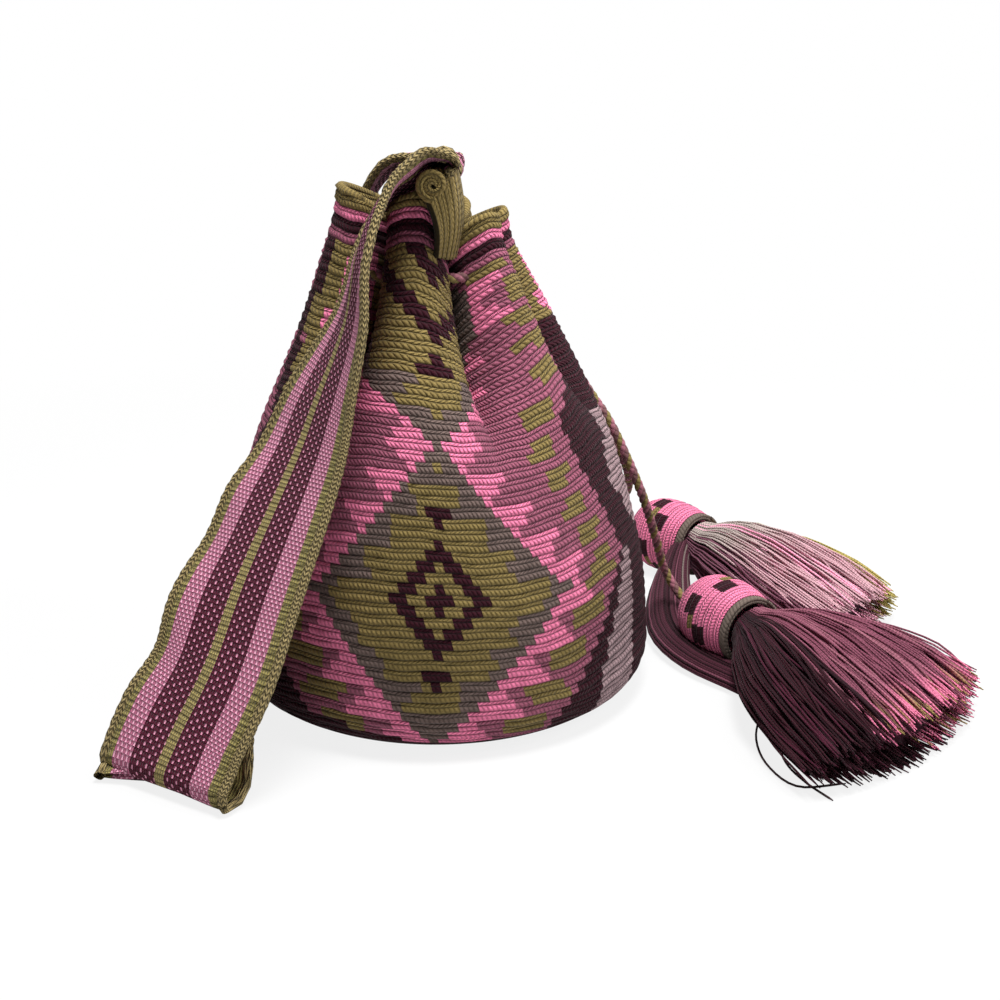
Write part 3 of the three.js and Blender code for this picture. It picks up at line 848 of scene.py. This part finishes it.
def seams():
    """Crocheted rolls that join the strap's ends to the rim."""
    STITCHES_LONG, ROWS_ROUND = 9, 7
    finish = plain_crochet("strap_seam", OLIVE)
    along = np.linspace(0, 1, 40)[:, None]
    turn = np.linspace(0, FULL_TURN, 25)[None, :]
    swell = 1 + 0.07 * np.sin(FULL_TURN * along * STITCHES_LONG)
    ends = np.sqrt(np.clip(1 - np.abs(2 * along - 1) ** 14, 0, 1))
    spread = SEAM_RADIUS * swell * ends
    for name in ("front", "back"):
        low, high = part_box(f"strap_seam_{name}")
        centre = (low + high) / 2
        roll = np.broadcast_arrays(
            centre.x + spread * np.cos(turn[:, :-1]),
            low.y + (high.y - low.y) * along,
            centre.z + spread * np.sin(turn[:, :-1]),
        )
        mould = Mould()
        rows = ROWS_ROUND * turn / FULL_TURN
        mould.patch(np.stack(roll, -1)[:, ::-1], along * STITCHES_LONG, rows, True)
        if name == "front":
            scroll(mould, np.array((centre.x, low.y, centre.z)))
            tab(mould)
        mould.make(f"strap_seam_{name}_roll", finish, f"strap_seam_{name}")


def scroll(mould, end):
    """The rolled-up end of the crochet that shows at the near end of the front roll."""
    TURNS, INNER, OUTER, THICK = 1.75, 0.0006, 0.007, 0.0022
    SHIFT = np.array((-0.002, -0.001, -0.001))
    share = np.linspace(0, 1, 60)
    curl = share * TURNS * FULL_TURN
    reach = INNER + (OUTER - INNER) * share
    line = np.stack([reach * np.cos(curl), np.zeros(len(share)), reach * np.sin(curl)], 1)
    rings = tube(line + end + SHIFT, THICK, 10)
    mould.patch(rings, 12 * share[:, None], np.linspace(0, 2, 11)[None, :], True)


def tab(mould):
    """The crocheted end of the strap that runs down from the front roll into the fold beside it."""
    TOP = [(-0.003, -0.0525, 0.270), (0.0085, -0.045, 0.279), (0.011, -0.014, 0.280)]
    FOOT = [(0.002, -0.045, 0.238), (0.008, -0.038, 0.236), (0.012, -0.024, 0.236)]
    BOW = np.array((0.003, -0.002, 0.0))
    THICK = np.array((0.0025, 0.0, 0.0))
    RIDGE = np.array((0.0005, 0.0, 0.0))
    ROWS = 7
    across = np.linspace(0, 1, 24)
    fall = np.linspace(0, 1, 30)
    down = fall[:, None, None]
    sheet = through(TOP, across)[None] * (1 - down) + through(FOOT, across)[None] * down
    sheet = sheet + BOW * np.sin(np.pi * down)
    front = sheet + RIDGE * np.sin(FULL_TURN * ROWS * across)[None, :, None]
    loop = np.concatenate([front, sheet[:, ::-1] - THICK], 1)
    rows = ROWS * np.concatenate([across, across[::-1], [0.0]])[None, :]
    stitches = ROWS * np.concatenate([[0], fall, [1]])[:, None]
    mould.patch(closed(loop), stitches, rows, True)


seams()


def cap_crochet(name, shift):
    """Pink crochet with burgundy and olive blocks worked in at four places round the cap."""
    finish = Finish(name)
    u, v = finish.stitch_grid()
    row = v.floor()
    column = (stitch_column(u, v) + shift) % (CAP_STITCHES / 4)
    first = (column < 2.5) * row.near(6.5, 1.1)
    second = (column > 3.5) * (column < 6.5) * row.near(8.5, 1.1)
    gold = (column > 2.5) * (column < 4.5) * row.near(7, 0.6)
    colour = finish.worked(PINK, (first.most(second), BURGUNDY), (gold, OLIVE))
    return crocheted(finish, u, v, colour, FINE_RELIEF)


class Tassel:
    """One tassel in its own frame: +X runs from the cap's apex to the ends of the skirt."""

    CAP_LENGTH = 2 * CAP_RADIUS
    BINDING_END = CAP_LENGTH + GAP + 0.008
    WOUND = 0.0056  # width of the yarn wound round the neck
    NECK = 0.7 * CAP_RADIUS

    def __init__(self, name, spec, seed):
        self.name = name
        self.spec = spec
        self.half = math.radians(spec["spread"])
        self.random = np.random.default_rng(seed)

    def out(self, local):
        """Local points in the shared frame."""
        turn = math.radians(self.spec["heading"])
        x = local[..., 0] * math.cos(turn) - local[..., 1] * math.sin(turn)
        y = local[..., 0] * math.sin(turn) + local[..., 1] * math.cos(turn)
        return np.stack([x, y, local[..., 2]], -1) + tassel_point(self.spec, 0)

    def revolve(self, along, radius, turns):
        rings = along[:, None], radius * np.cos(turns)[None, :], radius * np.sin(turns)[None, :]
        return np.stack(np.broadcast_arrays(*rings), -1)

    def cap(self, shift):
        """Crocheted cap, with a lip turned in round the neck."""
        ROW, RIDGE, LEG = 0.0046, 0.0009, 0.68
        SHAPE = [(0.42, 0.02), (0.75, 0.13), (0.95, 0.32), (1, 0.55), (0.96, 0.8)]
        STEP, COLUMNS = 0.0008, 132
        hole = CORD_DIAMETER / 2 + 2 * GAP
        sides = [(wide * CAP_RADIUS, along * self.CAP_LENGTH) for wide, along in SHAPE]
        outline = [(hole, 0.0), *sides, (self.NECK + GAP + 0.0035, self.CAP_LENGTH)]
        shares, length = even_shares(outline, STEP)
        line = through(outline, shares)
        rows = np.linspace(0, length, len(line)) / ROW
        turns = np.linspace(0, FULL_TURN, COLUMNS + 1)
        radius = line[:, :1] + RIDGE * (ridge_of(rows[:, None] % 1, LEG, 0.4) - 0.6)
        points = self.revolve(line[:, 1], radius, turns[:-1])
        lip = self.revolve(line[-1:, 1] - 0.004, np.full((1, 1), self.NECK - 0.001), turns[:-1])
        points = np.concatenate([points, lip])
        v = np.concatenate([rows, rows[-1:] + 0.5])[:, None]
        mould = Mould()
        mould.patch(self.out(points)[:, ::-1], CAP_STITCHES * turns[None, ::-1] / FULL_TURN, v, True)
        finish = cap_crochet(f"{self.name}_cap_crochet", shift)
        node = f"{self.name}_tassel_cap"
        return mould.make(f"{node}_crochet", finish, node)

    def binding(self):
        """Yarn wound round the neck."""
        WINDS, THICK, SIDES = 4, 0.0011, 7
        start = self.CAP_LENGTH - 0.0005
        turns = np.linspace(0, FULL_TURN * WINDS, 60 * WINDS)
        along = start + THICK + (self.WOUND - 2 * THICK) * turns / turns[-1]
        around = np.linspace(0, 1, SIDES + 1)[None, :]
        mould = Mould()
        for layer, radius in enumerate((self.NECK + 0.0012, self.NECK + 0.0027)):
            line = np.stack([along, radius * np.cos(turns + layer), radius * np.sin(turns + layer)], 1)
            gone = np.arange(len(line))[:, None] * 0.8
            mould.patch(tube(self.out(line), THICK, SIDES), around, gone, True, linear("63574f"))
        finish = yarn_finish(f"{self.name}_binding_yarn")
        node = f"{self.name}_tassel_binding"
        return mould.make(f"{node}_yarn", finish, node)

    def fan(self, share, angle, ring, reach_scale):
        """Skirt points: share along it, angle round its section, ring from its core to its surface."""
        start = 0.69 * CAP_RADIUS / math.sin(self.half)
        origin = self.BINDING_END + GAP - start * math.cos(self.half)
        shares = [0, 0.08, 0.25, 0.5, 0.78, 0.97, 1.05]
        thick = CAP_RADIUS * np.interp(share, shares, [0.69, 0.9, 1.02, 0.95, 0.76, 0.58, 0.5])
        flare = np.interp(share, shares, [1, 1.2, 1.34, 1.34, 1.18, 1.04, 1])
        rest = np.maximum(0.0006 + thick, CAP_RADIUS * (1 - 1.6 * share)) - CAP_RADIUS
        slant = 1 - self.spec["slant"] * np.cos(angle) * ring
        reach = start + share * SKIRT_LENGTH * reach_scale * slant
        turn = self.half * flare * np.cos(angle) * ring
        turn = turn + self.spec["swing"] * np.maximum(np.cos(angle), 0) * ring * np.clip(share * 3, 0, 1)
        lift = np.minimum(rest, 0) + thick * np.sin(angle) * ring
        return np.stack([origin + reach * np.cos(turn), reach * np.sin(turn), lift], -1)

    def strands(self, count, dye_of):
        """Lines and dyes of the loose yarn that fills the skirt, thickest near its surface."""
        STEPS, BOW = 15, 0.0024
        angle = self.random.uniform(0, FULL_TURN, count)[:, None]
        ring = (1 - 0.45 * self.random.random(count)[:, None] ** 2) * 0.97
        scale = 1 + 0.035 * self.random.normal(size=(count, 1)).clip(-2, 1.2)
        share = np.linspace(-0.04, 1, STEPS)[None, :]
        local = self.fan(share, angle, ring, scale)
        bow = self.random.normal(size=(count, 2, 1)) * BOW
        wave = np.sin(share * self.random.uniform(2, 5, (count, 1)) + self.random.uniform(0, 6, (count, 1)))
        free = np.clip(share, 0, 1)
        local[..., 1] += bow[:, 0] * wave * free * 1.6
        local[..., 2] += bow[:, 1] * wave * free
        local[..., 2] = np.maximum(local[..., 2], YARN_RADIUS - CAP_RADIUS)
        tones = self.random.random((count, 1))
        point_colour = dye_of(np.cos(angle) * ring, np.sin(angle) * ring, free, tones)
        return self.out(local), point_colour


def ply_tubes(mould, lines, point_colour, radius=YARN_RADIUS):
    """A thin tube for every strand, tapering at its cut end."""
    SIDES, YARN_PITCH = 5, 0.002
    ahead = unit(np.gradient(lines, axis=1))
    side = unit(np.cross(ahead, (0.0, 0.0, 1.0)) + 1e-9)
    lift = np.cross(side, ahead)
    turn = np.linspace(0, FULL_TURN, SIDES + 1)
    taper = np.ones(lines.shape[1])
    taper[-1] = 0.5
    for line, s, up, colour in zip(lines, side, lift, point_colour):
        rings = line[:, None] + spokes(s, up, turn[:-1]) * (radius * taper)[:, None, None]
        gone = travelled(line)[:, None] / YARN_PITCH
        mould.patch(rings, turn[None, :] / FULL_TURN, gone, True, colour[:, None, :])


def dyed(*layers):
    """Blends yarn colours: each layer after the first is a colour and a weight from 0 to 1."""
    colour = np.array(linear(layers[0]))
    for code, weight in layers[1:]:
        weight = np.clip(np.asarray(weight, float), 0, 1)[..., None]
        colour = colour + (np.array(linear(code)) - colour) * weight
    return colour


def front_dye(side, high, along, tone):
    """Mauve on the far side, burgundy on the near side, with pink and olive showing at the tips."""
    near = side + 0.2 * (tone - 0.5) < -0.38 + 0.8 * np.maximum(-high, 0)
    tip = smoothstep(along, 0.78, 1.0) * (tone > 0.45)
    gold = smoothstep(along, 0.82, 1.0) * ((tone * 7) % 1 < 0.18)
    colour = dyed("784253", ("99626f", (tone > 0.8) * 0.6), (PINK, tip * 0.68), ("8c7a45", gold))
    dark = dyed("2d0915", ("48142a", (tone > 0.78) * 0.6), ("1c060f", (tone < 0.25) * 0.7))
    return np.where(near[..., None], dark, colour)


def back_dye(side, high, along, tone):
    """Taupe and mauve with pale pink lines, olive along the far side and burgundy on the near side."""
    return dyed(
        "c0969e",
        ("eba3bc", tone > 0.8),
        ("a59892", (1 - smoothstep(along, 0.2, 0.65)) * (tone < 0.8)),
        ("a39454", side > 0.55 + 0.3 * (tone - 0.5)),
        ("6e4252", side < -0.7 + 0.4 * (tone - 0.5)),
    )


def loose_bundle(tassel, count):
    """The part of the back skirt that falls aside and lies between the bag and the front tassel."""
    BUNDLE = [
        (0.151, 0.148, 0.026), (0.141, 0.118, 0.020), (0.134, 0.078, 0.013), (0.133, 0.034, 0.009),
        (0.145, 0.004, 0.007), (0.168, -0.024, 0.006), (0.192, -0.058, 0.006),
    ]
    rng = tassel.random
    shares = np.linspace(0, 1, 22)
    line = through(BUNDLE, shares)
    ahead = unit(np.gradient(line, axis=0))
    side = unit(np.cross(ahead, (0.0, 0.0, 1.0)))
    angle = rng.uniform(0, FULL_TURN, (count, 1))
    ring = np.sqrt(rng.random((count, 1)))
    spread = 0.007 + 0.007 * smoothstep(shares, 0.05, 0.4)
    flat = np.cos(angle) * ring * spread
    lift = np.abs(np.sin(angle)) * ring * (0.010 - 0.004 * shares) - 0.003
    lines = line[None] + side[None] * flat[..., None]
    lines[..., 2] += lift
    lines[..., 2] = np.maximum(lines[..., 2], 0.001)
    cut = 1 - 0.06 * rng.random((count, 1))
    shorter = (cut - 1)[..., None] * 3 * (shares**6)[None, :, None]
    tone = rng.random((count, 1))
    point_colour = dyed("45202c", ("6f3f4e", (tone > 0.62) * 0.9), ("6b5f5a", tone > 0.9), ("2c1019", tone < 0.2))
    return lines + (line[-1] - line[-2])[None, None] * shorter, point_colour


def core(mould, tassel, point_colour):
    """The skirt's packed middle, so that no light shows through the strands; its dark colour is painted
    shade deep in the skirt, on the front one close to the burgundy yarn's own colour.
    """
    STEPS, SIDES, RING = 24, 32, 0.78
    share = np.linspace(-0.02, 0.93, STEPS)[:, None]
    angle = np.linspace(0, FULL_TURN, SIDES + 1)
    points = tassel.out(tassel.fan(share, angle[None, :-1], RING, 1.0))
    points = np.concatenate([points, np.repeat(points[-1:].mean(1, keepdims=True), SIDES, 1)])
    mould.patch(points, angle[None, :] * 12, np.arange(STEPS + 1)[:, None] * 0.2, True, linear(point_colour))


def tassels():
    """Both tassels. Returns their caps and bindings, which sit on the cord."""
    finish = yarn_finish("tassel_yarn")
    front = Tassel("front", TASSELS["front"], 11)
    back = Tassel("back", TASSELS["back"], 23)
    on_cord = [front.cap(4), back.cap(9), front.binding(), back.binding()]
    mould = Mould()
    # Painted shade inside the front skirt, near the burgundy of its yarn.
    core(mould, front, "3a1222")
    ply_tubes(mould, *front.strands(1150, front_dye))
    # Two threads that have slipped out of the skirt and lie on the floor beside it.
    threads = [
        [
            (0.166, -0.070, 0.008), (0.161, -0.090, 0.003), (0.163, -0.116, 0.001),
            (0.174, -0.137, 0.001), (0.197, -0.136, 0.002),
        ],
        [
            (0.172, -0.082, 0.006), (0.172, -0.110, 0.001), (0.178, -0.132, 0.001),
            (0.188, -0.151, 0.001),
        ],
    ]
    for thread in threads:
        ply_tubes(mould, through(thread, np.linspace(0, 1, 20))[None], dyed("3c2a2c")[None, None])
    mould.make("front_tassel_yarn_skirt", finish, "front_tassel_yarn")
    mould = Mould()
    # Painted shade inside the back skirt, far darker than its pale yarn.
    core(mould, back, "4a2a36")
    ply_tubes(mould, *back.strands(700, back_dye))
    lines, point_colour = loose_bundle(back, 260)
    ply_tubes(mould, lines, point_colour, 0.0008)
    mould.make("back_tassel_yarn_skirt", finish, "back_tassel_yarn")
    return on_cord


tassels()


def studio():
    """Pale floor, soft lamps from above and a white surround."""
    WHITE, FLOOR_GREY = (1, 1, 1, 1), (0.6, 0.6, 0.6, 1)
    NEAR, FADE = 0.3, 0.5  # distance where the floor starts to fade to white, and over which it does
    FLOOR_HALF = 30.0
    FLOOR_GLOW, SURROUND_LIGHT = 0.84, 0.19
    finish = Finish("studio_floor", sheen=0.0)
    finish.shader.inputs["Base Color"].default_value = FLOOR_GREY
    kinds = ("Is Camera Ray", "Is Glossy Ray")
    rays = [finish.node("ShaderNodeLightPath", None, None, kind) for kind in kinds]
    glow = finish.node("ShaderNodeEmission", None, {"Color": WHITE, "Strength": 1.0})
    shader = Value(finish, finish.shader.outputs[0])
    spot = finish.node("ShaderNodeTexCoord", None, None, "Object")
    away = finish.node("ShaderNodeVectorMath", {"operation": "LENGTH"}, {0: spot}, "Value")
    whiter = ((away - NEAR) / FADE).most(0).least(1)
    seen = (FLOOR_GLOW + (1 - FLOOR_GLOW) * whiter) * rays[0].most(rays[1])
    blend = finish.node("ShaderNodeMixShader", None, {0: seen, 1: shader, 2: glow})
    finish.tree.links.new(blend.socket, finish.tree.nodes["Material Output"].inputs["Surface"])
    mesh = bpy.data.meshes.new("floor")
    corners = [(x * FLOOR_HALF, y * FLOOR_HALF, 0) for x, y in ((-1, -1), (1, -1), (1, 1), (-1, 1))]
    mesh.from_pydata(corners, [], [(0, 1, 2, 3)])
    mesh.materials.append(finish.material)
    put("floor", mesh)
    # Name, place in metres, size in metres and power in watts.
    lamps = [
        ("key_lamp", (0.12, -0.2, 1.7), 0.5, 42.0),
        ("fill_lamp", (1.2, -0.2, 1.0), 0.8, 13.0),
        ("back_lamp", (0.5, 0.8, 1.3), 0.9, 8.0),
    ]
    for name, spot, size, power in lamps:
        data = bpy.data.lights.new(name, "AREA")
        data.size = size
        data.energy = power
        lamp = put(name, data)
        lamp.location = spot
        lamp.rotation_euler = (CAMERA_TARGET - Vector(spot)).to_track_quat("-Z", "Y").to_euler()
    world = bpy.data.worlds.new("surround")
    world.use_nodes = True
    bpy.context.scene.world = world
    surround = Nodes(world.node_tree)
    background = surround.tree.nodes["Background"]
    background.inputs["Color"].default_value = WHITE
    ray = surround.node("ShaderNodeLightPath", None, None, "Is Camera Ray")
    levels = {"Value": ray, "To Min": SURROUND_LIGHT, "To Max": 1.0}
    strength = surround.node("ShaderNodeMapRange", None, levels, "Result")
    surround.tree.links.new(strength.socket, background.inputs["Strength"])
    bpy.context.scene.view_settings.view_transform = "Standard"


studio()
